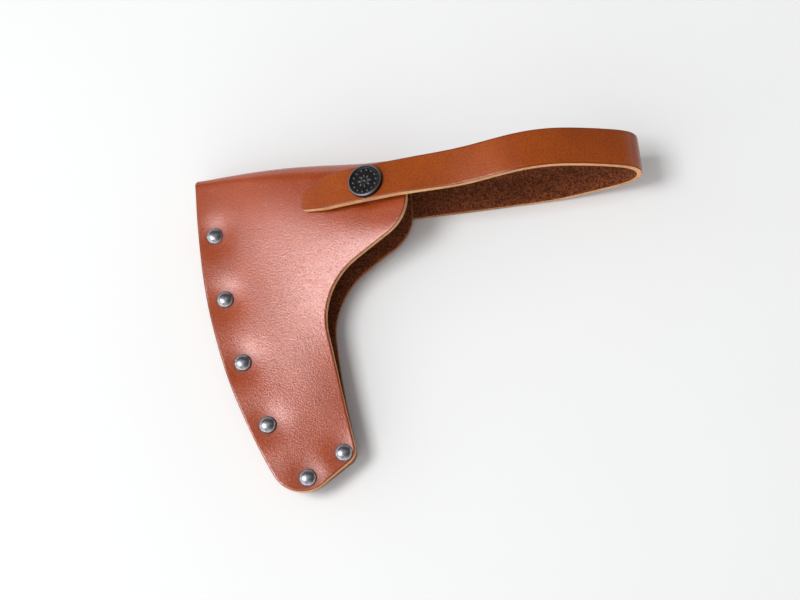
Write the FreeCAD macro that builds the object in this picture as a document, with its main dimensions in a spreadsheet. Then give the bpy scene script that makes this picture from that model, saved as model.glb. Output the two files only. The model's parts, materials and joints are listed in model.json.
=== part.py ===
import FreeCAD, Part
import math
import os
import re
import Sketcher

# Leather edge sheath for a hatchet, lying on its back.
#
# Frame: +Z up from the surface it lies on, +X towards the strap loop, +Y towards the folded
# spine.  The model is drawn with the strap's middle on the line Y = 0 and the snap near X = 0,
# and is moved at the end so that the origin is the middle of its footprint.
# Lengths are millimetres and angles are degrees.

SIZES = {
    # leather
    "leather": 2.8,             # front and back panel
    "strap_leather": 2.8,
    "welt_thickness": 2.8,      # spacer strip between the panels along the cutting edge
    "welt_width": 12.0,         # from the outline to the inner side of the spacer
    "welt_inset": 0.9,          # spacer stands back from the outline
    # outline of the panels, seen from above; every corner but the mouth's is rounded
    "edge_x": -77.7,            # straight start of the cutting edge side
    "edge_bow_y": 5.0,          # where that side starts to bow
    "edge_radius": 290.0,       # bow of the cutting edge side
    "toe_x": -44.3,
    "toe_y": -130.4,
    "toe_round": 12.0,
    "heel_x": -16.2,
    "heel_y": -111.1,
    "heel_round": 4.0,
    "neck_x": -26.3,
    "neck_y": -38.9,
    "neck_round": 29.0,
    "mouth_x": 16.3,            # end of the fold, where the hatchet goes in
    "mouth_y": -16.4,
    "mouth_round": 19.0,
    # folded spine: tight at the cutting edge side, open at the mouth
    "spine_y": 20.9,            # outermost line of the fold above edge_x
    "spine_slope": 0.069,       # how far it comes in for each millimetre towards the mouth
    "mouth_gap": 18.5,          # between the panels at the end of the fold
    # strap loop
    "strap_width": 16.2,
    "strap_tail": -34.0,        # hidden end, under the back panel
    "lay_x": 20.0,              # from here the strap goes down to the surface
    "lift_angle": 17.0,         # lower leg of the loop, from the surface
    "lift_round": 60.0,
    "loop_reach": 115.6,        # farthest point of the loop
    "bend_height": 19.2,
    "bend_round": 10.5,         # outer face at the end of the loop
    "crest_x": 72.0,            # corner of the upper leg and the front run, before rounding
    "crest_round": 60.0,
    "tip_x": -29.5,
    "tip_long": 12.5,           # long taper on the spine side of the tip
    "tip_long_cut": 6.6,
    "tip_short": 3.6,           # short taper on the other side
    "tip_short_cut": 3.2,
    # double cap rivets along the edge
    "rivet_head": 3.5,          # radius
    "rivet_height": 2.6,
    "rivet_round": 2.3,
    "rivet_stem": 1.4,          # radius
    "rivet_inset": 7.3,
    "rivet_start": 12.3,        # along the bowed edge, from where it starts to bow
    "rivet_pitch": 29.5,
    "toe_rivet_x": 7.0,         # from the toe's unrounded corner
    "toe_rivet_y": 12.2,
    "heel_rivet_x": -5.3,       # from the heel's unrounded corner
    "heel_rivet_y": 1.6,
    # flat rivets that hold the strap to the back panel
    "tie_head": 4.5,            # radius
    "tie_height": 1.0,
    "tie_round": 0.4,
    "tie_press": 0.5,           # how far the outer head is pressed into the strap
    "tie_stem": 1.5,            # radius
    "tie_x": -9.0,
    "tie_pitch": 15.0,
    # snap fastener
    "snap_x": 1.3,              # its axis on the front panel
    "snap_gap": 3.5,            # between the front panel and the strap
    "snap_cap_radius": 7.5,
    "snap_cap_height": 1.9,
    "snap_rim": 1.1,            # width of the cap's raised rim
    "snap_recess": 0.5,         # depth of the face inside the rim
    "snap_edge_round": 0.5,
    "socket_radius": 5.6,
    "socket_bore": 3.4,         # radius
    "socket_web": 0.55,
    "socket_groove": 3.9,       # radius, holds the spring ring
    "ring_radius": 2.98,        # to the middle of the wire
    "ring_wire": 0.45,          # radius
    "ring_opening": 50.0,
    "ring_level": 1.3,          # above the front panel
    "stud_flange": 4.7,         # radius
    "stud_flange_height": 0.6,
    "stud_neck": 2.2,           # radius
    "stud_neck_height": 1.25,
    "stud_head": 2.7,           # radius
    "stud_head_height": 0.9,
    "post_stem": 1.2,           # radius, the stud's post through the front panel
    "post_flange": 4.2,         # radius
    "post_flange_height": 0.6,
    "cap_post": 1.6,            # radius, the cap's post through the strap
    "ease": 0.05,               # play round stems in their holes, on the radius
    "seat_ease": 0.1,           # play round pressed heads, on the radius
}

EDGE_RIVETS_ON_BOW = 4
TIE_RIVETS = 2
STATIONS_BOW = 7                # sections of the folded blank over the bowed edge
STATIONS_FLAT = 6               # sections from there to the mouth
BLANK_MARGIN = 6.0              # by how much a blank stands past what trims it

doc = FreeCAD.newDocument("hatchet_sheath")
sheet = doc.addObject("Spreadsheet::Sheet", "Sizes")


def fill_sheet():
    """One row for each driving size: its name, its value and its alias."""
    for row, (name, value) in enumerate(SIZES.items(), start=1):
        sheet.set("A%d" % row, name)
        sheet.set("B%d" % row, repr(value))
        sheet.setAlias("B%d" % row, name)
    doc.recompute()


def size(name):
    """A driving size, read back from the sheet."""
    return float(sheet.get(name))


def bound(text):
    """An expression over the sheet, from one written with the plain names."""
    return re.sub(r"\b(%s)\b" % "|".join(SIZES), r"Sizes.\1", text)


def point(x, z):
    """A point of a profile in the XZ plane."""
    return FreeCAD.Vector(x, 0, z)


# ---------------------------------------------------------------- drawing helpers

def origin_plane(body, role):
    return next(f for f in body.Origin.OriginFeatures if f.Role == role)


def new_body(label):
    body = doc.addObject("PartDesign::Body", label)
    body.Label = label
    return body


def new_sketch(body, name, role):
    sketch = body.newObject("Sketcher::SketchObject", name)
    sketch.AttachmentSupport = [(origin_plane(body, role), "")]
    sketch.MapMode = "FlatFace"
    return sketch


def pin_corner(sketch, line, end, across, up):
    """Hold one end of a line at a place that the sheet gives."""
    for kind, text in (("DistanceX", across), ("DistanceY", up)):
        expression = bound(text)
        value = float(sketch.evalExpression(expression))
        index = sketch.addConstraint(Sketcher.Constraint(kind, -1, 1, line, end, value))
        sketch.setExpression("Constraints[%d]" % index, expression)


def polygon_sketch(body, name, role, corners):
    """A closed outline of straight lines.  Each corner is a pair of expressions."""
    sketch = new_sketch(body, name, role)
    doc.recompute()
    places = [tuple(float(sketch.evalExpression(bound(c))) for c in pair) for pair in corners]
    count = len(places)
    for i, (x, y) in enumerate(places):
        nx, ny = places[(i + 1) % count]
        sketch.addGeometry(Part.LineSegment(FreeCAD.Vector(x, y, 0), FreeCAD.Vector(nx, ny, 0)))
    for i in range(count):
        sketch.addConstraint(Sketcher.Constraint("Coincident", i, 2, (i + 1) % count, 1))
    for i, (across, up) in enumerate(corners):
        pin_corner(sketch, i, 1, across, up)
    return sketch


def turned_body(label, corners):
    """A turned piece: its half profile, radius and height, about the Z axis."""
    body = new_body(label)
    sketch = polygon_sketch(body, label + "_profile", "XZ_Plane", corners)
    turn = body.newObject("PartDesign::Revolution", label + "_turn")
    turn.Profile = sketch
    turn.ReferenceAxis = (sketch, ["V_Axis"])
    turn.Angle = 360
    doc.recompute()
    return body


def round_rim(body, level, radius, amount):
    """Round the circular edge of this height and radius."""
    base = body.Tip
    names = []
    for i, edge in enumerate(base.Shape.Edges, start=1):
        circle = edge.Curve
        if circle.TypeId != "Part::GeomCircle":
            continue
        if abs(circle.Radius - radius) < 1e-4 and abs(circle.Center.z - level) < 1e-4:
            names.append("Edge%d" % i)
    fillet = body.newObject("PartDesign::Fillet", body.Label + "_round")
    fillet.Base = (base, names)
    fillet.setExpression("Radius", bound(amount))
    doc.recompute()


def cylinder(label, radius, height, placement):
    rod = doc.addObject("Part::Cylinder", label)
    rod.setExpression("Radius", bound(radius))
    rod.setExpression("Height", bound(height))
    rod.Placement = placement
    return rod


def fused(label, shapes):
    group = doc.addObject("Part::MultiFuse", label)
    group.Shapes = shapes
    return group


def cut(label, base, tool):
    result = doc.addObject("Part::Cut", label)
    result.Label = label
    result.Base = base
    result.Tool = tool
    return result


def upright(x, y, z):
    return FreeCAD.Placement(FreeCAD.Vector(x, y, z), FreeCAD.Rotation())


# ---------------------------------------------------------------- heights and curves

def strap_top():
    """Inner face of the strap under the sheath, where the back panel lies on it."""
    return size("tie_height") - size("tie_press") + size("strap_leather")


def flange_top():
    """Outer face of the front panel where it is riveted down."""
    return strap_top() + 2 * size("leather") + size("welt_thickness")


def edge_centre():
    """Centre of the bow of the cutting edge side."""
    start = FreeCAD.Vector(size("edge_x"), size("edge_bow_y"), 0)
    end = FreeCAD.Vector(size("toe_x"), size("toe_y"), 0)
    chord = end - start
    reach = math.sqrt(size("edge_radius") ** 2 - (chord.Length / 2) ** 2)
    inward = FreeCAD.Vector(-chord.y, chord.x, 0).normalize()
    return (start + end) * 0.5 + inward * reach


def rise_start():
    return size("edge_x") + size("welt_width")


def rise_slope():
    return (size("mouth_gap") - size("welt_thickness")) / (size("mouth_x") - rise_start())


def spine_top(x):
    """Height of the front panel's outer face beside the fold."""
    return flange_top() + rise_slope() * max(0.0, x - rise_start())


def fold_radius(x):
    """Outer radius of the fold."""
    return (spine_top(x) - strap_top()) / 2


def fold_centre(x):
    return size("spine_y") - size("spine_slope") * (x - size("edge_x")) - fold_radius(x)


def flange_line(x):
    """Y of the line where the front panel starts to rise from the spacer."""
    centre = edge_centre()
    radius = size("edge_radius") - size("welt_width")
    across = x - centre.x
    on_bow = centre.y - math.sqrt(max(0.0, radius ** 2 - across ** 2))
    run = size("heel_x") - size("toe_x")
    slope = (size("heel_y") - size("toe_y")) / run
    lift = size("welt_width") * math.hypot(1, slope)
    on_bottom = size("toe_y") + slope * (x - size("toe_x")) + lift
    return max(on_bow, on_bottom)


def panel_depth():
    """Front panel's thickness along its own normal."""
    return size("leather") * math.cos(math.atan(rise_slope()))


def edge_rivet_places():
    """Four along the bowed edge, one at the toe and one at the heel."""
    centre = edge_centre()
    radius = size("edge_radius") - size("rivet_inset")
    places = []
    for i in range(EDGE_RIVETS_ON_BOW):
        turn = (size("rivet_start") + i * size("rivet_pitch")) / radius
        places.append((centre.x - radius * math.cos(turn), centre.y - radius * math.sin(turn)))
    places.append((size("toe_x") + size("toe_rivet_x"), size("toe_y") + size("toe_rivet_y")))
    places.append((size("heel_x") + size("heel_rivet_x"), size("heel_y") + size("heel_rivet_y")))
    return places


def tie_places():
    return [(size("tie_x") - i * size("tie_pitch"), 0.0) for i in range(TIE_RIVETS)]


def snap_frame():
    """On the front panel's outer face at the snap, Z along the panel's normal."""
    tilt = FreeCAD.Rotation(FreeCAD.Vector(0, 1, 0), -math.degrees(math.atan(rise_slope())))
    return FreeCAD.Placement(point(size("snap_x"), spine_top(size("snap_x"))), tilt)


def snap_place(height):
    """A place on the snap's axis, this far from the front panel."""
    return snap_frame().multiply(upright(0, 0, height))


# ---------------------------------------------------------------- sheath and spacer

def section(x):
    """The folded leather cut across at x: back panel, fold and front panel."""
    leather = size("leather")
    low = strap_top()
    high = spine_top(x)
    flange = flange_top()
    radius = fold_radius(x)
    fold_y = fold_centre(x)
    flange_y = min(flange_line(x), fold_y - BLANK_MARGIN)
    end_y = size("toe_y") - BLANK_MARGIN

    def at(y, z):
        return FreeCAD.Vector(x, y, z)

    def line(a, b):
        return Part.LineSegment(a, b).toShape()

    def fold(r):
        middle = low + radius
        top, side, bottom = at(fold_y, middle + r), at(fold_y + r, middle), at(fold_y, middle - r)
        return Part.Arc(bottom, side, top).toShape()

    def front(drop):
        curve = Part.BezierCurve()
        half = (fold_y + flange_y) / 2
        curve.setPoles([at(fold_y, high - drop), at(half, high - drop), at(flange_y, flange - drop)])
        return curve.toShape()

    edges = [
        line(at(end_y, low), at(fold_y, low)),
        fold(radius),
        front(0),
        line(at(flange_y, flange), at(end_y, flange)),
        line(at(end_y, flange), at(end_y, flange - leather)),
        line(at(end_y, flange - leather), at(flange_y, flange - leather)),
        front(leather),
        fold(radius - leather),
        line(at(fold_y, low + leather), at(end_y, low + leather)),
        line(at(end_y, low + leather), at(end_y, low)),
    ]
    return Part.Wire(Part.__sortEdges__(edges))


def blank_stations():
    """Where the folded blank is drawn: close together over the bow, then wider apart."""
    left = size("edge_x") - BLANK_MARGIN
    start = rise_start()
    bow_end = size("toe_x")
    right = size("mouth_x") + BLANK_MARGIN
    bow = [start + (bow_end - start) * i / STATIONS_BOW for i in range(STATIONS_BOW)]
    flat = [bow_end + (right - bow_end) * i / STATIONS_FLAT for i in range(STATIONS_FLAT + 1)]
    return [left] + bow + flat


def folded_blank():
    """The folded leather before its outline is cut: a ruled skin over the sections."""
    blank = doc.addObject("Part::Feature", "folded_blank")
    blank.Shape = Part.makeLoft([section(x) for x in blank_stations()], True, True)
    return blank


def outline_body():
    """The outline both panels share, as a tall block that trims the folded blank."""
    body = new_body("outline")
    top = "spine_y + %g" % BLANK_MARGIN
    corners = [
        ("edge_x", top),
        ("edge_x", "edge_bow_y"),
        ("toe_x", "toe_y"),
        ("heel_x", "heel_y"),
        ("neck_x", "neck_y"),
        ("mouth_x", "mouth_y"),
        ("mouth_x", top),
    ]
    sketch = polygon_sketch(body, "outline_sketch", "XY_Plane", corners)
    bow_edge(sketch)
    pad = body.newObject("PartDesign::Pad", "outline_pad")
    pad.Profile = sketch
    pad.setExpression("Length", bound("mouth_gap + 4 * leather + welt_thickness + snap_gap"))
    doc.recompute()
    for name in ("toe", "heel", "neck", "mouth"):
        round_corner(body, name)
    return body


def bow_edge(sketch):
    """Replace the cutting edge side's straight line by its bow."""
    straight = sketch.Geometry[1]
    start, end = straight.StartPoint, straight.EndPoint
    centre = edge_centre()
    radius = size("edge_radius")
    middle = centre + ((start + end) * 0.5 - centre).normalize() * radius
    sketch.toggleConstruction(1)
    bow = sketch.addGeometry(Part.Arc(start, middle, end))
    ends = {1: 1, 2: 2}
    arc = sketch.Geometry[bow]
    if (arc.StartPoint - start).Length > (arc.EndPoint - start).Length:
        ends = {1: 2, 2: 1}
    for line_end, arc_end in ends.items():
        sketch.addConstraint(Sketcher.Constraint("Coincident", 1, line_end, bow, arc_end))
    index = sketch.addConstraint(Sketcher.Constraint("Radius", bow, radius))
    sketch.setExpression("Constraints[%d]" % index, bound("edge_radius"))


def round_corner(body, name):
    """Round the upright edge of the outline at the corner of this name."""
    base = body.Tip
    x, y = size(name + "_x"), size(name + "_y")
    names = []
    for i, edge in enumerate(base.Shape.Edges, start=1):
        first, last = edge.Vertexes[0].Point, edge.Vertexes[-1].Point
        upright_edge = abs(first.z - last.z) > 1
        if upright_edge and math.hypot(first.x - x, first.y - y) < 1e-3:
            names.append("Edge%d" % i)
    fillet = body.newObject("PartDesign::Fillet", name + "_fillet")
    fillet.Base = (base, names)
    fillet.setExpression("Radius", bound(name + "_round"))
    doc.recompute()


def edge_rivet_holes():
    holes = []
    for i, (x, y) in enumerate(edge_rivet_places(), start=1):
        place = upright(x, y, strap_top() - BLANK_MARGIN)
        height = "2 * leather + welt_thickness + %g" % (2 * BLANK_MARGIN)
        holes.append(cylinder("edge_hole_%d" % i, "rivet_stem + ease", height, place))
    return fused("edge_holes", holes)


def panel_holes(edge_holes):
    """Every hole through the folded leather."""
    holes = [edge_holes]
    for i, (x, y) in enumerate(tie_places(), start=1):
        place = upright(x, y, strap_top() - BLANK_MARGIN)
        height = "leather + %g" % (2 * BLANK_MARGIN)
        holes.append(cylinder("tie_hole_%d" % i, "tie_stem + ease", height, place))
    below = snap_place(-size("leather") - BLANK_MARGIN / 2)
    holes.append(cylinder("stud_hole", "post_stem + ease", "leather + %g" % BLANK_MARGIN, below))
    holes.append(cylinder("stud_seat", "stud_flange + seat_ease", "snap_gap", snap_place(0)))
    under = snap_place(-panel_depth() - BLANK_MARGIN)
    holes.append(cylinder("post_seat", "post_flange + seat_ease", "%g" % BLANK_MARGIN, under))
    return fused("panel_holes", holes)


def sheath_body(outline, edge_holes):
    """Back panel, fold and front panel in one piece of leather."""
    trimmed = doc.addObject("Part::Common", "sheath_trimmed")
    trimmed.Base = folded_blank()
    trimmed.Tool = outline
    return cut("sheath_body", trimmed, panel_holes(edge_holes))


def welt(outline, edge_holes):
    """The spacer: a strip that follows the outline from the fold round to the heel."""
    ground = [f for f in outline.Shape.Faces if f.BoundBox.ZMax < 1e-6][0]
    outer = ground.makeOffset2D(-size("welt_inset"))
    inner = ground.makeOffset2D(-size("welt_width"))
    band = outer.cut(inner).common(riveted_side())
    band.translate(FreeCAD.Vector(0, 0, strap_top() + size("leather")))
    strip = doc.addObject("Part::Feature", "welt_strip")
    strip.Shape = band.extrude(FreeCAD.Vector(0, 0, size("welt_thickness")))
    return cut("welt", strip, edge_holes)


def riveted_side():
    """The part of the plan along the bowed edge and along the bottom, up to the fold."""
    left = size("edge_x") - BLANK_MARGIN
    bottom = size("toe_y") - BLANK_MARGIN
    right = size("heel_x") + BLANK_MARGIN
    corner = (size("toe_x") + size("heel_x")) / 2
    inside = rise_start() + BLANK_MARGIN / 2
    top = fold_centre(inside)
    plan = [
        (left, top),
        (inside, top),
        (corner, flange_line(corner)),
        (right, flange_line(right)),
        (right, bottom),
        (left, bottom),
    ]
    corners = [FreeCAD.Vector(x, y, 0) for x, y in plan]
    return Part.Face(Part.makePolygon(corners + corners[:1]))


# ---------------------------------------------------------------- rivets

def rivet_post(label, kind, grip, place):
    """Outer head with its stem.  The stem stands in the cap up to half the cap's height."""
    top = "%s + %s_height / 2" % (grip, kind)
    body = turned_body(label, [
        ("0", "-%s_height" % kind),
        ("%s_head" % kind, "-%s_height" % kind),
        ("%s_head" % kind, "0"),
        ("%s_stem" % kind, "0"),
        ("%s_stem" % kind, top),
        ("0", top),
    ])
    round_rim(body, -size(kind + "_height"), size(kind + "_head"), kind + "_round")
    body.Placement = place
    return body


def rivet_cap(label, kind, place):
    """Cap that is pressed on the stem's end."""
    body = turned_body(label, [
        ("0", "%s_height" % kind),
        ("0", "%s_height / 2" % kind),
        ("%s_stem" % kind, "%s_height / 2" % kind),
        ("%s_stem" % kind, "0"),
        ("%s_head" % kind, "0"),
        ("%s_head" % kind, "%s_height" % kind),
    ])
    round_rim(body, size(kind + "_height"), size(kind + "_head"), kind + "_round")
    body.Placement = place
    return body


def edge_rivets():
    pieces = []
    for i, (x, y) in enumerate(edge_rivet_places(), start=1):
        grip = "2 * leather + welt_thickness"
        pieces.append(rivet_post("rivet_post_%d" % i, "rivet", grip, upright(x, y, strap_top())))
        pieces.append(rivet_cap("rivet_cap_%d" % i, "rivet", upright(x, y, flange_top())))
    return pieces


def tie_rivets():
    """Flat rivets through the strap and the back panel, outer head pressed in."""
    pieces = []
    seat = size("tie_height")
    inside = strap_top() + size("leather")
    grip = "strap_leather + leather - tie_press"
    for i, (x, y) in enumerate(tie_places(), start=1):
        pieces.append(rivet_post("strap_rivet_post_%d" % i, "tie", grip, upright(x, y, seat)))
        pieces.append(rivet_cap("strap_rivet_cap_%d" % i, "tie", upright(x, y, inside)))
    return pieces


# ---------------------------------------------------------------- strap

class Run:
    """A straight stretch of the strap's outer face, in the XZ plane."""

    def __init__(self, start, end):
        self.start, self.end = start, end

    def edge(self, inward):
        along = (self.end - self.start).normalize()
        shift = FreeCAD.Vector(-along.z, 0, along.x) * inward
        return self.start + shift, None, self.end + shift


class Bend:
    """A round stretch of the strap's outer face about a centre, in the XZ plane."""

    def __init__(self, start, end, centre):
        self.start, self.end, self.centre = start, end, centre

    def edge(self, inward):
        """Start, middle and end of the arc, moved to the left of the strap's direction."""
        first, last = self.start - self.centre, self.end - self.centre
        left_turn = first.z * last.x - first.x * last.z < 0
        radius = first.Length - (inward if left_turn else -inward)
        middle = (first + last).normalize()
        arms = (first.normalize(), middle, last.normalize())
        return tuple(self.centre + arm * radius for arm in arms)


def rounded_path(corners):
    """Runs and bends along corners given as (point, rounding radius)."""
    pieces = []
    here = corners[0][0]
    for (before, _), (corner, radius), (after, _) in zip(corners, corners[1:], corners[2:]):
        back = (before - corner).normalize()
        ahead = (after - corner).normalize()
        half = back.getAngle(ahead) / 2
        start = corner + back * (radius / math.tan(half))
        end = corner + ahead * (radius / math.tan(half))
        centre = corner + (back + ahead).normalize() * (radius / math.sin(half))
        pieces += [Run(here, start), Bend(start, end, centre)]
        here = end
    return pieces + [Run(here, corners[-1][0])]


def strap_path():
    """The strap's outer face from its hidden end, round the loop, to the tip."""
    seat = size("tie_height") - size("tie_press")
    lift = math.radians(size("lift_angle"))
    centre = point(size("loop_reach") - size("bend_round"), size("bend_height"))
    down = point(math.sin(lift), -math.cos(lift)) * size("bend_round")
    lower = centre + down
    foot = point(lower.x - lower.z / math.tan(lift), 0)

    face = snap_place(size("snap_gap") + size("strap_leather")).Base
    slope = rise_slope()
    crest = point(size("crest_x"), face.z + slope * (size("crest_x") - face.x))
    tip = point(size("tip_x"), face.z + slope * (size("tip_x") - face.x))

    away = centre - crest
    fall = math.atan2(-away.z, away.x) - math.asin(size("bend_round") / away.Length)
    leg_up = math.tan(lift)
    leg_down = -math.tan(fall)
    meet_x = (crest.z - leg_down * crest.x + leg_up * foot.x) / (leg_up - leg_down)
    meet = point(meet_x, leg_up * (meet_x - foot.x))
    lay = point(size("lay_x"), seat)
    return rounded_path([
        (point(size("strap_tail"), seat), 0),
        (lay, size("lift_round")),
        (foot, size("lift_round")),
        (meet, size("bend_round")),
        (crest, size("crest_round")),
        (tip, 0),
    ])


def strap_piece(label, stretches):
    """One stretch of strap: its side view, padded to the strap's width."""
    body = new_body(label)
    sketch = new_sketch(body, label + "_side", "XZ_Plane")
    outer = [s.edge(0) for s in stretches]
    inner = [s.edge(size("strap_leather")) for s in stretches]
    closing = [(outer[0][0], None, inner[0][0]), (outer[-1][2], None, inner[-1][2])]
    for start, middle, end in outer + inner + closing:
        a, b = (FreeCAD.Vector(p.x, p.z, 0) for p in (start, end))
        if middle is None:
            sketch.addGeometry(Part.LineSegment(a, b))
        else:
            sketch.addGeometry(Part.Arc(a, FreeCAD.Vector(middle.x, middle.z, 0), b))
    pad = body.newObject("PartDesign::Pad", label + "_pad")
    pad.Profile = sketch
    pad.Midplane = True
    pad.setExpression("Length", bound("strap_width"))
    doc.recompute()
    return body


def strap_back_run(stretches):
    """Riveted to the back panel, with seats for the two outer rivet heads."""
    leather = strap_piece("strap_back_leather", stretches)
    tools = []
    for i, (x, y) in enumerate(tie_places(), start=1):
        stem = upright(x, y, -BLANK_MARGIN)
        seat = upright(x, y, -size("tie_height"))
        height = "tie_height + strap_leather + %g" % (2 * BLANK_MARGIN)
        tools.append(cylinder("strap_hole_%d" % i, "tie_stem + ease", height, stem))
        tools.append(cylinder("strap_seat_%d" % i, "tie_head + seat_ease", "2 * tie_height", seat))
    return cut("strap_back_run", leather, fused("strap_back_holes", tools))


def strap_front_run(stretches):
    """From the crest of the loop to the tapered tip, with the hole for the snap's cap."""
    leather = strap_piece("strap_front_leather", stretches)
    taper_tip(leather)
    below = snap_place(size("snap_gap") - BLANK_MARGIN / 2)
    hole = cylinder("cap_hole", "cap_post + ease", "strap_leather + %g" % BLANK_MARGIN, below)
    return cut("strap_front_run", leather, hole)


def taper_tip(body):
    """Cut the tip's two corners off: a long taper on the spine side, a short one opposite."""
    half = "strap_width / 2"
    tapers = {
        "long": ("tip_long", half, "%s - tip_long_cut" % half, "%s + 1" % half),
        "short": ("tip_short", "-" + half, "tip_short_cut - %s" % half, "-%s - 1" % half),
    }
    for name, (length, side, cut_side, beyond) in tapers.items():
        sketch = polygon_sketch(body, "tip_%s" % name, "XY_Plane", [
            ("tip_x + " + length, side),
            ("tip_x", cut_side),
            ("tip_x - %g" % BLANK_MARGIN, cut_side),
            ("tip_x - %g" % BLANK_MARGIN, beyond),
            ("tip_x + " + length, beyond),
        ])
        before = body.Shape.Volume
        pocket = body.newObject("PartDesign::Pocket", "tip_%s_cut" % name)
        pocket.Profile = sketch
        pocket.Midplane = True
        pocket.Length = 10 * flange_top()
        doc.recompute()
        if body.Shape.Volume > before - 1:
            raise RuntimeError("the tip's %s taper cuts nothing" % name)


def strap(path):
    """The strap in five pieces that meet at the four lines it flexes about."""
    back_lay, lay_bend, back_run, foot_bend, lower, end_bend, upper, crest, front = path
    return [
        strap_back_run([back_lay, lay_bend, back_run, foot_bend]),
        strap_piece("strap_bend_lower", [lower]),
        strap_piece("strap_bend_end", [end_bend]),
        strap_piece("strap_bend_upper", [upper]),
        strap_front_run([crest, front]),
    ]


# ---------------------------------------------------------------- snap fastener

def snap_stud():
    """Stud on the front panel: flange, neck and a wider head, bored for its post."""
    neck_top = "stud_flange_height + stud_neck_height"
    top = neck_top + " + stud_head_height"
    body = turned_body("snap_stud", [
        ("post_stem", "0"),
        ("stud_flange", "0"),
        ("stud_flange", "stud_flange_height"),
        ("stud_neck", "stud_flange_height"),
        ("stud_neck", neck_top),
        ("stud_head", neck_top),
        ("stud_head", top),
        ("post_stem", top),
    ])
    body.Placement = snap_frame()
    return body


def snap_post():
    """Post from inside the sheath through the front panel into the stud."""
    slope = "(mouth_gap - welt_thickness) / (mouth_x - edge_x - welt_width)"
    depth = "leather * cos(atan(%s))" % slope
    top = "stud_flange_height + stud_neck_height + stud_head_height"
    body = turned_body("snap_post", [
        ("0", "-%s - post_flange_height" % depth),
        ("post_flange", "-%s - post_flange_height" % depth),
        ("post_flange", "-" + depth),
        ("post_stem", "-" + depth),
        ("post_stem", top),
        ("0", top),
    ])
    body.Placement = snap_frame()
    return body


def snap_socket():
    """Socket under the strap: a cup that closes over the stud, grooved for its spring ring."""
    level = "ring_level - ring_wire"
    over = "ring_level + ring_wire"
    mouth = "stud_flange_height"
    body = turned_body("snap_socket", [
        ("socket_bore", mouth),
        ("socket_radius", mouth),
        ("socket_radius", "snap_gap"),
        ("cap_post", "snap_gap"),
        ("cap_post", "snap_gap - socket_web"),
        ("socket_bore", "snap_gap - socket_web"),
        ("socket_bore", over),
        ("socket_groove", over),
        ("socket_groove", level),
        ("socket_bore", level),
    ])
    body.Placement = snap_frame()
    return body


def snap_spring():
    """Open wire ring in the socket's groove, which grips the stud's neck."""
    ring = doc.addObject("Part::Torus", "snap_spring")
    ring.Label = "snap_spring"
    ring.setExpression("Radius1", bound("ring_radius"))
    ring.setExpression("Radius2", bound("ring_wire"))
    ring.setExpression("Angle3", bound("360 - ring_opening"))
    ring.Placement = snap_place(size("ring_level"))
    return ring


def snap_cap():
    """Cap on the strap: a rim round a recessed face, and the post that holds the socket."""
    body = turned_body("snap_cap", [
        ("0", "-strap_leather - socket_web"),
        ("cap_post", "-strap_leather - socket_web"),
        ("cap_post", "0"),
        ("snap_cap_radius", "0"),
        ("snap_cap_radius", "snap_cap_height"),
        ("snap_cap_radius - snap_rim", "snap_cap_height"),
        ("snap_cap_radius - snap_rim", "snap_cap_height - snap_recess"),
        ("0", "snap_cap_height - snap_recess"),
    ])
    round_rim(body, size("snap_cap_height"), size("snap_cap_radius"), "snap_edge_round")
    body.Placement = snap_place(size("snap_gap") + size("strap_leather"))
    return body


# ---------------------------------------------------------------- whole sheath

def centre_on_footprint(pieces):
    """Move the model so that the origin is the middle of its footprint, on the surface."""
    box = FreeCAD.BoundBox()
    for piece in pieces:
        box.add(piece.Shape.optimalBoundingBox(False))
    shift = FreeCAD.Vector(-(box.XMin + box.XMax) / 2, -(box.YMin + box.YMax) / 2, -box.ZMin)
    move = FreeCAD.Placement(shift, FreeCAD.Rotation())
    for piece in pieces:
        piece.Placement = move.multiply(piece.Placement)
    doc.recompute()
    return shift


def check(pieces):
    for item in doc.Objects:
        if "Invalid" in item.State or "Error" in item.State:
            raise RuntimeError("%s failed: %s" % (item.Label, item.State))
    for piece in pieces:
        if piece.Shape.isNull() or not piece.Shape.isValid() or piece.Shape.Volume <= 0:
            raise RuntimeError("%s has no valid solid" % piece.Label)


def report(pieces, path, shift):
    """Print the flex lines and each piece's volume and box, in the final frame."""
    for name, bend in (("lower", path[4]), ("end", path[5]), ("upper", path[6]), ("front", path[7])):
        line = bend.start + shift
        print("flex line %s: X %.3f Y %.3f Z %.3f" % (name, line.x, line.y, line.z))
    for piece in pieces:
        box = piece.Shape.BoundBox
        spans = (box.XMin, box.XMax, box.YMin, box.YMax, box.ZMin, box.ZMax)
        print("%-20s %9.2f  %s" % (piece.Label, piece.Shape.Volume, " ".join("%8.2f" % s for s in spans)))


def main():
    fill_sheet()
    outline = outline_body()
    edge_holes = edge_rivet_holes()
    doc.recompute()
    path = strap_path()
    pieces = [sheath_body(outline, edge_holes), welt(outline, edge_holes)]
    pieces += edge_rivets() + tie_rivets() + strap(path)
    pieces += [snap_stud(), snap_post(), snap_socket(), snap_spring(), snap_cap()]
    doc.recompute()
    check(pieces)
    shift = centre_on_footprint(pieces)
    check(pieces)
    os.makedirs("parts", exist_ok=True)
    for piece in pieces:
        piece.Shape.exportStep("parts/%s.step" % piece.Label)
    report(pieces, path, shift)


main()
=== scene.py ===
import json
import math

import bpy
import numpy as np
from mathutils import Matrix, Vector
from mathutils.geometry import delaunay_2d_cdt


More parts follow.
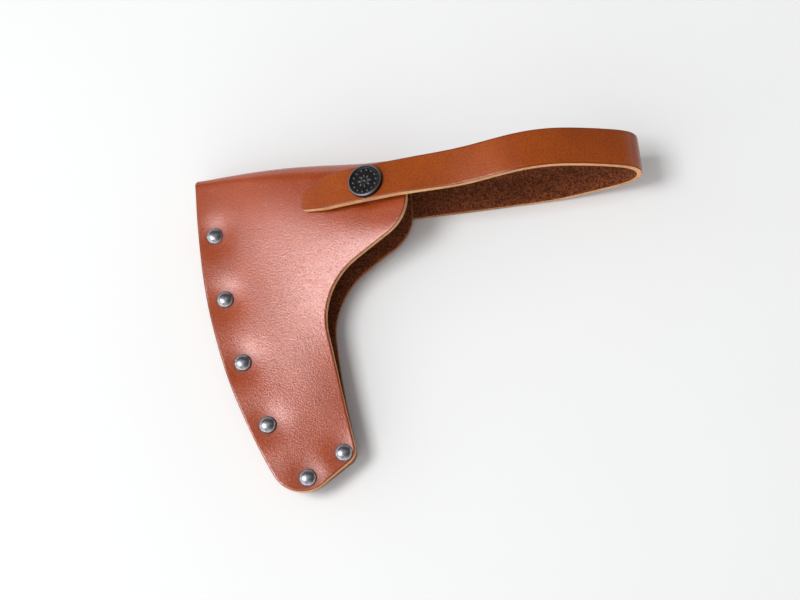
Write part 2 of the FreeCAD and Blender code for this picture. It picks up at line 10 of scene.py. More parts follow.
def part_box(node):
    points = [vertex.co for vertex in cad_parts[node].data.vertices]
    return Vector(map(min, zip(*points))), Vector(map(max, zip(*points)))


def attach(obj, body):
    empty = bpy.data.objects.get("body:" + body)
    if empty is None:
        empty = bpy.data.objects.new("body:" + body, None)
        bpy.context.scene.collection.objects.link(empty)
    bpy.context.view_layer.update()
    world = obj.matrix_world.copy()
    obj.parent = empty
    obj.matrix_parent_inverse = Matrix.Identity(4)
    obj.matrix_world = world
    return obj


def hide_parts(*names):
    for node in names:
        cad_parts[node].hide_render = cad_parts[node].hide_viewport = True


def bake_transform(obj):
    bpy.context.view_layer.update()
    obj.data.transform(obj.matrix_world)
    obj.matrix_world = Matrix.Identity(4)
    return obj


# Looks of a leather hatchet sheath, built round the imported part.
#
# Shapes are drawn in millimetres in the part's own drawing frame: the strap's middle on Y = 0, the
# snap near X = 0, +Z up.  place() moves them into the row frame, in metres.

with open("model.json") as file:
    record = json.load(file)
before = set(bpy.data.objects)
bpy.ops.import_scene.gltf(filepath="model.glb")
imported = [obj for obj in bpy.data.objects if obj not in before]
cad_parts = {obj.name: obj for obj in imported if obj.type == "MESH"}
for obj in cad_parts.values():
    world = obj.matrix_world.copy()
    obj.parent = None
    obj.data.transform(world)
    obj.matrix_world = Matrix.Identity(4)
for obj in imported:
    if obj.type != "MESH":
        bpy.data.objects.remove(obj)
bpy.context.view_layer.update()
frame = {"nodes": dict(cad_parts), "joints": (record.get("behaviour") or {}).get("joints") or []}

MM = 0.001

# -------- sizes shared with the part

LEATHER = 2.8
WELT = 2.8
WELT_WIDTH = 12.0
WELT_INSET = 0.9
BACK_FACE = 3.3                 # outer face of the back panel
WELT_BASE = BACK_FACE + LEATHER
FLANGE_TOP = WELT_BASE + WELT + LEATHER
EDGE_X = -77.7
EDGE_BOW_Y = 5.0
EDGE_RADIUS = 290.0
TOE = np.array([-44.3, -130.4])
TOE_ROUND = 14.0
HEEL = np.array([-16.2, -111.1])
HEEL_ROUND = 6.5
NECK = np.array([-26.3, -38.9])
NECK_ROUND = 29.0
MOUTH = np.array([16.3, -16.4])
MOUTH_ROUND = 19.0
MOUTH_GAP = 18.5
SPINE_Y = 20.9
SPINE_SLOPE = 0.069
STRAP_WIDTH = 16.2
STRAP_TAIL = -34.0
STRAP_SEAT = 0.5
LAY_X = 20.0
LIFT = math.radians(17.0)
LIFT_ROUND = 60.0
LOOP_REACH = 115.6
BEND_HEIGHT = 19.2
BEND_ROUND = 10.5
CREST_X = 67.0
CREST_ROUND = 60.0
TIP_X = -29.5
TIP_LONG, TIP_LONG_CUT = 12.5, 6.6
TIP_ROUND = 2.0
TIP_SHORT, TIP_SHORT_CUT = 11.0, 1.9
RIVET_HEAD = 3.7
RIVET_HEIGHT = 2.6
RIVET_INSET = 7.3
RIVET_START = 12.3
RIVET_PITCH = 29.5
RIVETS_ON_BOW = 4
TOE_RIVET = TOE + (7.0, 12.2)
HEEL_RIVET = HEEL + (-5.3, 1.6)
TIE_HEAD = 4.5
TIE_HEIGHT = 1.0
TIE_X = (-9.0, -24.0)
SNAP_X = 1.3
SNAP_GAP = 3.5
CAP_RADIUS = 7.5
CAP_HEIGHT = 1.9
RISE_START = EDGE_X + WELT_WIDTH
RISE_SLOPE = (MOUTH_GAP - WELT) / (MOUTH[0] - RISE_START)

# -------- sizes of the looks only

OUTLINE_STEP = 0.5
GRID = 1.5                      # mesh spacing on flat leather
LOOP_STEP = 1.1                 # mesh spacing along a cut edge
STRAP_STEP = 1.2
FOLD_SPAN = 25.0                # flat leather that goes round the fold
EDGE_BAND = 1.8                 # width of the worked band along a cut edge
# depth below the grain side against distance from the cut: a rounded arris
GRAIN_EDGE = ((0.0, 0.42), (0.08, 0.20), (0.22, 0.07), (0.42, 0.05), (0.6, 0.0), (1.0, 0.0),
              (EDGE_BAND, 0.0))
FLESH_EDGE = ((0.0, 2.42), (0.12, 2.68), (0.4, LEATHER), (EDGE_BAND, LEATHER))
CUT_ROWS = (0.9, 1.4, 1.9)      # depths of the rows on the cut edge itself
PUFF = 0.8                      # how far the leather stands up between rivets
PUFF_REACH = 7.5
PUFF_HOLD = 1.12                # how firmly a rivet holds the leather down round itself
BACK_PUFF = 0.25                # the back panel's share of the swell
UNEVEN = 0.12                   # slight waves in the leather, and their lengths
UNEVEN_WAVES = (31, 44, 57)
WELT_WAVES = (19, 27)
CUT_UNEVEN = 0.09               # a cut edge wanders a little, and its fibres fray
CUT_WAVES = (17, 29, 41)
CUT_FRAY = 0.05
CUT_SHADE_FROM = 8.0              # flat place round the fold from which the cut edge gets browner: painted shade on the back panel's edge
SEAM_SOFT = 11.0                # how gently the front rises from its riveted band
BACK_PROUD = 3.2                # back panel stands proud of the front one at the neck
BACK_PROUD_AT = NECK + (4.0, -1.0)
BACK_PROUD_REACH = 24.0
BACK_SHORT = 1.2                # and is shorter at the toe
BACK_SHORT_REACH = 34.0
BOW_FULL = 0.9                  # extra fullness of the bowed edge
SPINE_FULL = 1.1                # extra fullness of the fold between its ends
FULLNESS_SHAPE = 1.5
SPINE_RISE = 2.3
SPINE_REACH = 27.0
SPINE_DROP = 0.5                # the fold's tight end turns in
SPINE_DROP_REACH = 10
FLANGE_CORNER = 9               # softness of the spacer's inner corner
FOLD_PINCH = 0.9                # the fold's ends draw in along the fold
STRAP_SOFT = 7.0                # length over which a change of the strap's bend is spread
STRAP_CROWN = 0.16              # the strap's grain side stands up in the middle
STRAP_UNEVEN = 0.08
STRAP_LINE_STEP = 0.25
TANGENT_STEP = 0.3
TAPER_SOFT = 0.015
STRAP_WAVES = (23, 37, 61)
STRAP_ACROSS = 11               # mesh steps across the strap between its worked bands
STRETCH_FROM = 80.0             # the loop's end is drawn out to its full reach beyond this X
STRETCH_OVER = 30.0
TIP_DROOP = 0.0034              # the tip droops beyond the snap
TIP_DROOP_START = 6
# where the strap springs aside, up or down: amount, distance from the tip, reach
CREST_RAISE = (1.4, 112, 26)
CREST_SAG = (2.0, 72, 24)
CREST_LEAN = (1.9, 118, 30)
TWIST = math.radians(8.0)       # lean of the snap and of the strap's front end
TWIST_FROM = 75                 # distance from the tip at which the twist begins
TWIST_OVER = 35
STRAP_GRAIN_SHIFT = 300         # sets the strap's grain apart from the sheath's
SHADE_END, SHADE_OVER = 115, 40     # painted shade: the strap's lower run has browner cut edges
SHADE_MOST = 0.8
WELT_SMOOTHING = 24             # rounds of smoothing of the spacer's outline
FAR = 20.0                      # distance beyond which an edge or a rivet has no effect
CROWN_Y = -22.0                 # highest line of the front panel
CROWN_BEND = 0.0030
LEVEL_SHARE = 0.30              # part of the front panel beside the fold that stays level
LEVEL_SHAPE = 1.5
SNAP_FLAT = 7.0                 # flat round the snap's stud
AXIS = 0.05                     # radius at which a turned profile closes on its axis
SUNK = 0.3                      # how far a rivet head's seat reaches into the leather
RIVET_SKIRT = 0.5               # upright part of a rivet head below its dome
TIE_SKIRT = 0.35
DOME_STEPS = 19
DOME_SHAPE = 0.85
CAP_TURNS = 168
CAP_FACE = CAP_HEIGHT - 0.5     # the ornament's ground inside the cap's rim
CAP_GROUND = CAP_FACE - 0.05
BEADS, BEAD_RING, BEAD_SIZE, BEAD_RISE = 14, 5.05, 0.36, 0.22
PETALS, PETAL_RISE = 8, 0.24

# -------- camera and light

CAMERA_FROM = (59.0, -195.5, 654.8)
CAMERA_AT = (-12.43, 8.61, 0.0)
CAMERA_ROLL = -5.48
CAMERA_LENS = 72
FLOOR_HALF = 2.5                # metres
WINDOW_AT = (-0.80, -0.01, 1.50)
WINDOW_SIZE = (0.64, 0.66)
WINDOW_POWER = 17.9
WINDOW_COLOUR = (0.985, 0.99, 1.0)
ROOM_BRIGHT_SIDE = (-0.75, -0.55, -0.35)
ROOM_COLOUR = (0.97, 0.975, 0.98, 1)

low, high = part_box("strap_bend_end")
SHIFT = np.array([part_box("sheath_body")[1].x / MM - MOUTH[0], (low.y + high.y) / 2 / MM, 0.0])


# -------- lines

def unit(vector):
    return vector / np.linalg.norm(vector)


def unit_rows(vectors):
    return vectors / np.maximum(1e-9, np.linalg.norm(vectors, axis=1))[:, None]


def left_of(steps):
    """Unit vectors square to the given steps, on their left."""
    return unit_rows(np.stack([-steps[:, 1], steps[:, 0]], 1))


def near(value, at, reach):
    """1 where a value is at the given one, fading to 0 over the reach."""
    return np.exp(-((value - at) / reach) ** 2)


def nudge(to_tip, bend):
    """The strap's shift from a bend given as amount, distance from the tip and reach."""
    amount, at, reach = bend
    return amount * near(to_tip, at, reach)


def smooth(share):
    return share ** 2 * (3 - 2 * share)


def arc(centre, start, turn, step=0.4):
    """Points from start about centre, through turn in radians."""
    arm = np.asarray(start, float) - centre
    count = max(2, math.ceil(abs(turn) * np.linalg.norm(arm) / step))
    points = []
    for k in range(count + 1):
        c, s = math.cos(turn * k / count), math.sin(turn * k / count)
        points.append(centre + (c * arm[0] - s * arm[1], s * arm[0] + c * arm[1]))
    return points


def rounded(corners, step=0.4):
    """A line through corners given as (a, b, radius), each inner corner rounded."""
    points = [np.array(corners[0][:2], float)]
    for before, corner, after in zip(corners, corners[1:], corners[2:]):
        here = np.array(corner[:2], float)
        back = unit(np.array(before[:2]) - here)
        ahead = unit(np.array(after[:2]) - here)
        if corner[2] == 0:
            points.append(here)
            continue
        half = math.acos(np.clip(back @ ahead, -1, 1)) / 2
        centre = here + unit(back + ahead) * corner[2] / math.sin(half)
        turn = math.pi - 2 * half
        if back[0] * ahead[1] - back[1] * ahead[0] > 0:
            turn = -turn
        points += arc(centre, here + back * corner[2] / math.tan(half), turn, step)
    points.append(np.array(corners[-1][:2], float))
    return np.array(points)


def along(points):
    """Distance along a line at each of its points."""
    steps = np.linalg.norm(np.diff(points, axis=0), axis=1)
    return np.concatenate([[0], np.cumsum(steps)])


def sample(points, places):
    """Points of a line at the given distances along it."""
    run = along(points)
    return np.stack([np.interp(places, run, points[:, k]) for k in range(points.shape[1])], 1)


def closed_loop(points, step):
    """A closed line at even steps, without its repeated end."""
    ring = np.vstack([points, points[:1]])
    length = along(ring)[-1]
    count = round(length / step)
    return sample(ring, np.arange(count) * length / count)


def waves(x, y, lengths, seed):
    """Gentle unevenness between -1 and 1 from crossed waves."""
    total = 0
    for k, length in enumerate(lengths):
        angle = 2.4 * k + seed
        total = total + np.sin((x * math.cos(angle) + y * math.sin(angle)) * math.tau / length
                               + 1.7 * k + 5 * seed)
    return total / len(lengths)


# -------- the folded panels' shape

def bow_centre():
    start = np.array([EDGE_X, EDGE_BOW_Y])
    chord = TOE - start
    reach = math.sqrt(EDGE_RADIUS ** 2 - (chord @ chord) / 4)
    return (start + TOE) / 2 + unit(np.array([-chord[1], chord[0]])) * reach


BOW = bow_centre()


def fullness(x):
    """From 0 at the fold's tight end up to 1 and back to 0 near the snap."""
    return np.sin(np.clip((x - EDGE_X) / -EDGE_X, 0, 1) * math.pi) ** FULLNESS_SHAPE


def seam_run(x, y):
    """Distance inwards from the riveted band along the bow, starting softly."""
    inward = EDGE_RADIUS - np.hypot(x - BOW[0], y - BOW[1]) - WELT_WIDTH
    at_edge = math.hypot(WELT_WIDTH, SEAM_SOFT) - WELT_WIDTH
    return 0.5 * (inward + np.sqrt(inward ** 2 + SEAM_SOFT ** 2) - at_edge)


def rise(x):
    """How far the front panel stands above its riveted edge beside the fold."""
    return RISE_SLOPE * seam_run(x, EDGE_BOW_Y) + SPINE_RISE * fullness(x)


def fold_radius(x):
    return (FLANGE_TOP + rise(x) - BACK_FACE) / 2


def fold_centre(x):
    """Y of the middle of the fold's bend."""
    spine = SPINE_Y - SPINE_SLOPE * (x - EDGE_X) + SPINE_FULL * fullness(x)
    return spine - SPINE_DROP * near(x, EDGE_X, SPINE_DROP_REACH) - fold_radius(x)


def bottom_line(x):
    """Y of the inner side of the riveted band along the bottom."""
    slope = (HEEL[1] - TOE[1]) / (HEEL[0] - TOE[0])
    return TOE[1] + slope * (x - TOE[0]) + WELT_WIDTH * math.hypot(1, slope)


def flange_line(x):
    """Y where the spacer ends under the front panel."""
    radius = EDGE_RADIUS - WELT_WIDTH
    on_bow = BOW[1] - np.sqrt(np.maximum(0, radius ** 2 - (x - BOW[0]) ** 2))
    on_bottom = bottom_line(x)
    return 0.5 * (on_bow + on_bottom + np.sqrt((on_bow - on_bottom) ** 2 + FLANGE_CORNER))


def rivet_places():
    """Four rivets along the bowed edge, one at the toe and one at the heel."""
    radius = EDGE_RADIUS - RIVET_INSET
    places = []
    for i in range(RIVETS_ON_BOW):
        turn = (RIVET_START + i * RIVET_PITCH) / radius
        places.append(BOW - radius * np.array([math.cos(turn), math.sin(turn)]))
    return places + [TOE_RIVET, HEEL_RIVET]


RIVETS = rivet_places()


def rivet_distance(x, y):
    return np.min([np.hypot(x - px, y - py) for px, py in RIVETS], axis=0)


def swell(x, y):
    """The leather's rise between the rivets that hold it down."""
    held = sum(np.exp(-(np.hypot(x - px, y - py) / PUFF_REACH) ** 2) for px, py in RIVETS)
    waved = UNEVEN * waves(x, y, UNEVEN_WAVES, 0.6)
    return PUFF * (1 - np.minimum(1, PUFF_HOLD * held)) + waved


def mouthward(x):
    """From 0 at the riveted band beside the fold up to 1 at the mouth."""
    return np.clip((x - RISE_START) / (MOUTH[0] - RISE_START), 0, 1)


def crown(x, y):
    """Fall of the front panel to both sides of its highest line, more towards the mouth."""
    share = mouthward(x) ** 2
    bend = np.where(y > CROWN_Y, (y - CROWN_Y) ** 2, 0)
    return CROWN_BEND * share * (bend - CROWN_Y ** 2)


def standing(x, y):
    """Share of the rise kept at a place: all beside the fold, none at the bottom."""
    level = LEVEL_SHARE * mouthward(x) ** LEVEL_SHAPE
    fall = np.clip((EDGE_BOW_Y - y) / (EDGE_BOW_Y - bottom_line(x)), 0, 1)
    fall = np.clip((fall - level) / (1 - level), 0, 1)
    return 1 - smooth(fall)


def folded(x, q):
    """The outer face at flat place (x, q): front panel below 0, then the fold, then the back."""
    radius = fold_radius(x)
    turn = np.clip(q / FOLD_SPAN, 0, 1) * math.pi
    y = fold_centre(x) + radius * np.sin(turn) + np.minimum(q, 0)
    y = y - np.maximum(q - FOLD_SPAN, 0)
    upper = swell(x, y) - crown(x, y)
    down = np.minimum(y, EDGE_BOW_Y)
    bulge = SPINE_RISE * fullness(x) * near(np.minimum(q, 0), 0, SPINE_REACH)
    front = FLANGE_TOP + RISE_SLOPE * seam_run(x, down) * standing(x, down) + bulge + upper
    at_snap = np.exp(-(np.hypot(x - SNAP_X, y) / SNAP_FLAT) ** 4)
    front = front + at_snap * (FLANGE_TOP + RISE_SLOPE * (x - RISE_START) - front)
    fold = BACK_FACE + (radius + upper / 2) * (1 + np.cos(turn))
    back = BACK_FACE - BACK_PUFF * swell(x, y)
    z = np.where(q < 0, front, np.where(q < FOLD_SPAN, fold, back))
    return np.stack([x, y, z], -1)


def panel_outline():
    """The panels' outline in plan, down the cutting edge, along the bottom and up to the mouth."""
    bottom = unit(HEEL - TOE)
    inward = np.array([-bottom[1], bottom[0]])
    away = TOE + inward * TOE_ROUND - BOW
    b = away @ bottom
    c = away @ away - (EDGE_RADIUS - TOE_ROUND) ** 2
    toe_centre = BOW + away + bottom * (-b - math.sqrt(b * b - c))
    touch = unit(toe_centre - BOW)
    bow_start = np.array([BOW[0] - EDGE_RADIUS, BOW[1]])
    bow_turn = math.atan2(-touch[1], -touch[0])
    toe_turn = math.acos(np.clip(touch @ -inward, -1, 1))
    points = [np.array([EDGE_X, fold_centre(EDGE_X)])]
    points += arc(BOW, bow_start, bow_turn)
    points += arc(toe_centre, toe_centre + touch * TOE_ROUND, toe_turn)
    rest = rounded([
        (*(toe_centre - inward * TOE_ROUND), 0),
        (*HEEL, HEEL_ROUND),
        (*NECK, NECK_ROUND),
        (*MOUTH, MOUTH_ROUND),
        (MOUTH[0], fold_centre(MOUTH[0]), 0),
    ])
    line = np.vstack([points, rest])
    return sample(line, np.arange(0, along(line)[-1], OUTLINE_STEP))


def moved_out(points, amount):
    """The outline moved outwards, by an amount for each point."""
    return points - left_of(np.gradient(points, axis=0)) * amount[:, None]


def full_bow(points):
    """Extra fullness halfway along the bowed edge."""
    share = np.clip((EDGE_BOW_Y - points[:, 1]) / (EDGE_BOW_Y - TOE[1]), 0, 1)
    on_bow = points[:, 0] < TOE[0]
    return BOW_FULL * np.where(on_bow, np.sin(share * math.pi) ** 2, 0)


def back_offset(points):
    """How far the back panel's edge stands proud of the front one's."""
    from_neck = np.linalg.norm(points - BACK_PROUD_AT, axis=1)
    from_toe = np.linalg.norm(points - TOE, axis=1)
    proud = BACK_PROUD * near(from_neck, 0, BACK_PROUD_REACH)
    return proud - BACK_SHORT * near(from_toe, 0, BACK_SHORT_REACH)


def blank_loop():
    """The whole blank's cut edge in flat places (x, q)."""
    outline = panel_outline()
    front = moved_out(outline, full_bow(outline))
    front = np.stack([front[:, 0], front[:, 1] - fold_centre(front[:, 0])], 1)
    back = moved_out(outline, full_bow(outline) + back_offset(outline))[::-1]
    back = np.stack([back[:, 0], FOLD_SPAN + fold_centre(back[:, 0]) - back[:, 1]], 1)
    front[0, 1] = front[-1, 1] = 0
    back[0, 1] = back[-1, 1] = FOLD_SPAN
    loop = closed_loop(np.vstack([front, back]), LOOP_STEP)
    on_fold = np.clip(loop[:, 1] / FOLD_SPAN, 0, 1)
    pinch = FOLD_PINCH * np.sin(on_fold * math.pi) ** 4
    loop[:, 0] += np.where(loop[:, 0] < RISE_START, pinch, -pinch)
    return loop


# -------- meshes

def place(points):
    """Drawing frame in millimetres to row frame in metres."""
    return (np.asarray(points, float) + SHIFT) * MM


def piece(name, points, faces, materials, kinds=None, values=None, sharp=None):
    mesh = bpy.data.meshes.new(name)
    mesh.from_pydata(place(points).tolist(), [], faces)
    for material in materials:
        mesh.materials.append(material)
    if kinds is not None:
        mesh.polygons.foreach_set("material_index", kinds)
    mesh.shade_smooth()
    if sharp is not None:
        mesh.set_sharp_from_angle(angle=math.radians(sharp))
    for key, array in (values or {}).items():
        array = np.asarray(array, np.float32)
        kind, field = ("FLOAT", "value") if array.ndim == 1 else ("FLOAT_VECTOR", "vector")
        mesh.attributes.new(key, kind, "POINT").data.foreach_set(field, array.ravel())
    obj = bpy.data.objects.new(name, mesh)
    bpy.context.scene.collection.objects.link(obj)
    return obj


def fit(obj, body, slot, *nodes):
    """The piece rides on a body and stands for CAD nodes, which are hidden; the slot is not used.
    """
    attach(obj, body)
    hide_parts(*nodes)
    return obj


def normals(surface, flat):
    """Outward normals of a surface at flat places."""
    step = 0.05
    x, q = flat[:, 0], flat[:, 1]
    du = surface(x + step, q) - surface(x - step, q)
    dv = surface(x, q + step) - surface(x, q - step)
    return unit_rows(np.cross(du, dv))


def inside(points, loop):
    """Which points lie inside a closed loop."""
    x, y = points[:, 0], points[:, 1]
    found = np.zeros(len(points), bool)
    for a, b in zip(loop, np.roll(loop, -1, 0)):
        crosses = (a[1] > y) != (b[1] > y)
        if a[1] != b[1]:
            found ^= crosses & (x < a[0] + (y - a[1]) / (b[1] - a[1]) * (b[0] - a[0]))
    return found


def nearest(points, loop):
    """Distance from each point to the nearest point of a loop."""
    found = np.full(len(points), np.inf)
    for part in np.array_split(loop, 12):
        gap = np.linalg.norm(points[:, None] - part[None], axis=2).min(1)
        found = np.minimum(found, gap)
    return found


def hex_grid(loop, spacing, margin):
    """Evenly spread points inside a loop, clear of it by the margin."""
    (x0, y0), (x1, y1) = loop.min(0), loop.max(0)
    rows = []
    for j, y in enumerate(np.arange(y0, y1, spacing * math.sqrt(3) / 2)):
        xs = np.arange(x0 + (j % 2) * spacing / 2, x1, spacing)
        rows.append(np.stack([xs, np.full(len(xs), y)], 1))
    points = np.vstack(rows)
    points = points[inside(points, loop)]
    return points[nearest(points, loop) > margin]


def edge_rows(thickness):
    """Rows round a cut edge as (inset, depth, kind), from the grain side over to the flesh side."""
    thin = thickness / LEATHER
    rows = [(d, depth * thin, 0) for d, depth in reversed(GRAIN_EDGE)]
    rows += [(0.0, depth * thin, 1) for depth in CUT_ROWS]
    return rows + [(d, depth * thin, 2) for d, depth in FLESH_EDGE]


def edge_rings(loop, rows):
    """The loop moved inwards for each row, a little uneven and, on the cut itself, frayed."""
    step = np.roll(loop, -1, 0) - np.roll(loop, 1, 0)
    inward = left_of(step)
    run = np.arange(len(loop)) * LOOP_STEP
    uneven = CUT_UNEVEN * waves(run, run * 0, CUT_WAVES, 1.3)
    rings = []
    for k, (inset, _, kind) in enumerate(rows):
        fray = CUT_FRAY * np.sin(run * (2.3 + 0.7 * k) + 2 * k) if kind == 1 else 0
        shift = inset + fray + uneven * (1 - inset / EDGE_BAND)
        rings.append(loop + inward * np.reshape(shift + 0 * run, (-1, 1)))
    return rings


def filled(ring, grid):
    """Triangles between a closed ring and the grid points inside it."""
    places = [Vector(p) for p in np.vstack([ring, grid])]
    sides = [(i, (i + 1) % len(ring)) for i in range(len(ring))]
    made = delaunay_2d_cdt(places, sides, [], 1, 1e-5)
    source = [group[0] for group in made[3]]
    return [[source[v] for v in face] for face in made[2]]


def leather_faces(rows, count, triangles, grid_count):
    """Faces of a cut piece and the material of each: grain 0, cut edge 1, flesh 2."""
    first_grid = len(rows) * count
    flesh_grid = first_grid + grid_count
    last_row = (len(rows) - 1) * count

    def turned_up(face, ring_start, grid_start):
        return [v + ring_start if v < count else v - count + grid_start for v in face]

    faces, kinds = [], []
    for face in triangles:
        faces.append(turned_up(face, 0, first_grid))
        kinds.append(0)
    for k in range(len(rows) - 1):
        kind = 1 if rows[k][2] == 1 or rows[k + 1][2] == 1 else rows[k][2]
        if rows[k][0] < 0.1 and rows[k][2] == 0:
            kind = 1
        for i in range(count):
            j = (i + 1) % count
            a, b = k * count, (k + 1) * count
            faces.append([b + i, b + j, a + j, a + i])
            kinds.append(kind)
    for face in triangles:
        faces.append(turned_up(face, last_row, flesh_grid)[::-1])
        kinds.append(2)
    return faces, kinds


def cut_leather(name, loop, surface, thickness, materials, spacing=GRID):
    """A piece cut from leather: grain side on the surface, worked edge all round, flesh side."""
    rows = edge_rows(thickness)
    rings = edge_rings(loop, rows)
    grid = hex_grid(rings[0], spacing, 0.6 * spacing)
    triangles = filled(rings[0], grid)
    faces, kinds = leather_faces(rows, len(loop), triangles, len(grid))

    flat = np.vstack(rings + [grid, grid])
    depths = [np.full(len(loop), depth) for _, depth, _ in rows]
    depths = np.concatenate(depths + [np.zeros(len(grid)), np.full(len(grid), thickness)])
    out = normals(surface, flat)
    points = surface(flat[:, 0], flat[:, 1]) - out * depths[:, None]
    edge = np.minimum(FAR, nearest(flat, loop))
    on_front = flat[:, 1] < 0
    rivet = np.minimum(FAR, rivet_distance(points[:, 0], points[:, 1]))
    values = {
        "flat": np.column_stack([flat, depths]),
        "edge": edge,
        # low: painted shade, browning the cut edge from round the fold onto the back panel
        "low": np.clip((flat[:, 1] - CUT_SHADE_FROM) / (FOLD_SPAN - CUT_SHADE_FROM), 0, 1),
        "rivet": np.where(on_front | (flat[:, 1] > FOLD_SPAN), rivet, FAR),
    }
    return piece(name, points, faces, materials, kinds, values)


# -------- strap

def snap_frame():
    """On the front panel at the snap, Z along the panel's normal, in the drawing frame."""
    top = FLANGE_TOP + RISE_SLOPE * (SNAP_X - RISE_START)
    tilt = Matrix.Rotation(-math.atan(RISE_SLOPE), 4, "Y") @ Matrix.Rotation(-TWIST, 4, "X")
    return Matrix.Translation((SNAP_X, 0, top)) @ tilt


def strap_line():
    """The strap's outer face seen from the side, from its hidden end round the loop to the tip."""
    centre = np.array([LOOP_REACH - BEND_ROUND, BEND_HEIGHT])
    lower = centre + BEND_ROUND * np.array([math.sin(LIFT), -math.cos(LIFT)])
    foot = np.array([lower[0] - lower[1] / math.tan(LIFT), 0])
    face = snap_frame() @ Vector((0, 0, (SNAP_GAP + LEATHER) / math.cos(TWIST)))
    crest = np.array([CREST_X, face.z + RISE_SLOPE * (CREST_X - face.x)])
    tip = np.array([TIP_X, face.z + RISE_SLOPE * (TIP_X - face.x)])
    away = centre - crest
    fall = math.atan2(-away[1], away[0]) - math.asin(BEND_ROUND / np.linalg.norm(away))
    leg_up, leg_down = math.tan(LIFT), -math.tan(fall)
    meet_x = (crest[1] - leg_down * crest[0] + leg_up * foot[0]) / (leg_up - leg_down)
    line = rounded([
        (STRAP_TAIL, STRAP_SEAT, 0),
        (LAY_X, STRAP_SEAT, LIFT_ROUND),
        (*foot, LIFT_ROUND),
        (meet_x, leg_up * (meet_x - foot[0]), BEND_ROUND),
        (*crest, CREST_ROUND),
        (*tip, 0),
    ])
    return sample(line, np.arange(0, along(line)[-1], STRAP_LINE_STEP))


def softened(line, reach):
    """The line with its changes of bend spread over the reach, its ends kept."""
    run = along(line)
    span = np.arange(-3 * reach, 3 * reach + 0.1, STRAP_LINE_STEP)
    weight = near(span, 0, reach)
    weight = weight / weight.sum()
    total = 0
    for offset, share in zip(span, weight):
        room = np.minimum(run, run[-1] - run)
        step = np.clip(offset, -room, room)
        total = total + share * sample(line, run + step)
    return total


def strap_edges(to_tip):
    """Lower and upper Y of the strap at a distance from its tip."""
    half = STRAP_WIDTH / 2
    corner = np.clip(TIP_ROUND - to_tip, 0, TIP_ROUND)
    corner = TIP_ROUND - np.sqrt(TIP_ROUND ** 2 - corner ** 2)

    def taper(length, cut):
        left = 1 - to_tip / length
        return cut * 0.5 * (left + np.sqrt(left ** 2 + TAPER_SOFT))

    lower = -half + taper(TIP_SHORT, TIP_SHORT_CUT) + corner
    upper = half - taper(TIP_LONG, TIP_LONG_CUT) - corner
    return lower, upper


def strap_stations(length, seams):
    """Distances along the strap at which its section is drawn."""
    ends = [d for d, _ in GRAIN_EDGE]
    stations = set(ends) | {length - d for d in ends} | set(seams)
    plain = np.arange(EDGE_BAND + 0.5, length - EDGE_BAND - 0.5, STRAP_STEP)
    for place_along in plain:
        if min(abs(place_along - s) for s in seams) > 0.3:
            stations.add(float(place_along))
    return np.array(sorted(stations))


def strap_run():
    """The strap's outer face from the side as it lies: bends spread, loop sprung, tip drooping."""
    line = strap_line()
    run = along(line)
    drooping = np.clip(run - (run[-1] - (SNAP_X - TIP_X) + TIP_DROOP_START), 0, None)
    line = softened(line, STRAP_SOFT)
    line[:, 1] -= TIP_DROOP * drooping ** 2
    stretch = np.clip((line[:, 0] - STRETCH_FROM) / STRETCH_OVER, 0, 1) ** 2
    line[:, 0] += (LOOP_REACH - line[:, 0].max()) * stretch
    to_tip = run[-1] - run
    line[:, 1] += nudge(to_tip, CREST_RAISE) - nudge(to_tip, CREST_SAG)
    return line


def strap_rings(stations, length):
    """The section at each station, as y and depth round a ring of grain, edge, flesh and edge."""
    grain, flesh = np.array(GRAIN_EDGE), np.array(FLESH_EDGE)
    insets = grain[:, 0]
    low_y, high_y = strap_edges(length - stations)
    uneven = STRAP_UNEVEN * waves(stations, stations * 0, STRAP_WAVES, 2.2)
    low_y, high_y = low_y + uneven, high_y + 0.8 * uneven[::-1]
    across = [low_y + d for d in insets]
    for share in np.linspace(0, 1, STRAP_ACROSS)[1:-1]:
        across.append(low_y + EDGE_BAND + (high_y - low_y - 2 * EDGE_BAND) * share)
    across += [high_y - d for d in insets[::-1]]
    across = np.array(across)
    to_end = np.minimum(stations, length - stations)
    to_edge = np.minimum(np.minimum(across - low_y, high_y - across), to_end)
    grain_depth = np.interp(to_edge, insets, grain[:, 1])
    grain_depth += STRAP_CROWN * (2 * across / STRAP_WIDTH) ** 2
    flesh_depth = np.interp(to_edge, flesh[:, 0], flesh[:, 1])

    ring_y, ring_d = list(across), list(grain_depth)
    for row, depth in enumerate(CUT_ROWS):
        ring_y.append(high_y + CUT_FRAY * np.sin(stations * (2.3 + row) + row))
        ring_d.append(np.full(len(stations), depth))
    ring_y += list(across[::-1])
    ring_d += list(flesh_depth[::-1])
    for row, depth in enumerate(reversed(CUT_ROWS)):
        ring_y.append(low_y - CUT_FRAY * np.sin(stations * (2.9 + row) + 2 * row))
        ring_d.append(np.full(len(stations), depth))
    ring_y, ring_d = np.array(ring_y), np.array(ring_d)
    edge = np.minimum(np.minimum(ring_y - low_y, high_y - ring_y), to_end)
    return ring_y.T, ring_d.T, edge.T


def strap_points(line, stations, ring_y, ring_d):
    """The rings set along the strap, turned by its twist and moved aside with its spring."""
    length = along(line)[-1]
    ahead = sample(line, np.minimum(length, stations + TANGENT_STEP))
    behind = sample(line, np.maximum(0, stations - TANGENT_STEP))
    inward = left_of(ahead - behind)
    middle = sample(line, stations)
    to_tip = length - stations
    turned = smooth(np.clip((TWIST_FROM - to_tip) / TWIST_OVER, 0, 1))[:, None]
    aside = (SNAP_GAP + LEATHER) * math.sin(TWIST) * turned + nudge(to_tip, CREST_LEAN)[:, None]
    cos, sin = np.cos(TWIST * turned), np.sin(TWIST * turned)
    inside_by = ring_d * cos + ring_y * sin
    x = middle[:, 0:1] + inward[:, 0:1] * inside_by
    z = middle[:, 1:2] + inward[:, 1:2] * inside_by
    return np.stack([x, ring_y * cos - ring_d * sin + aside, z], 2)


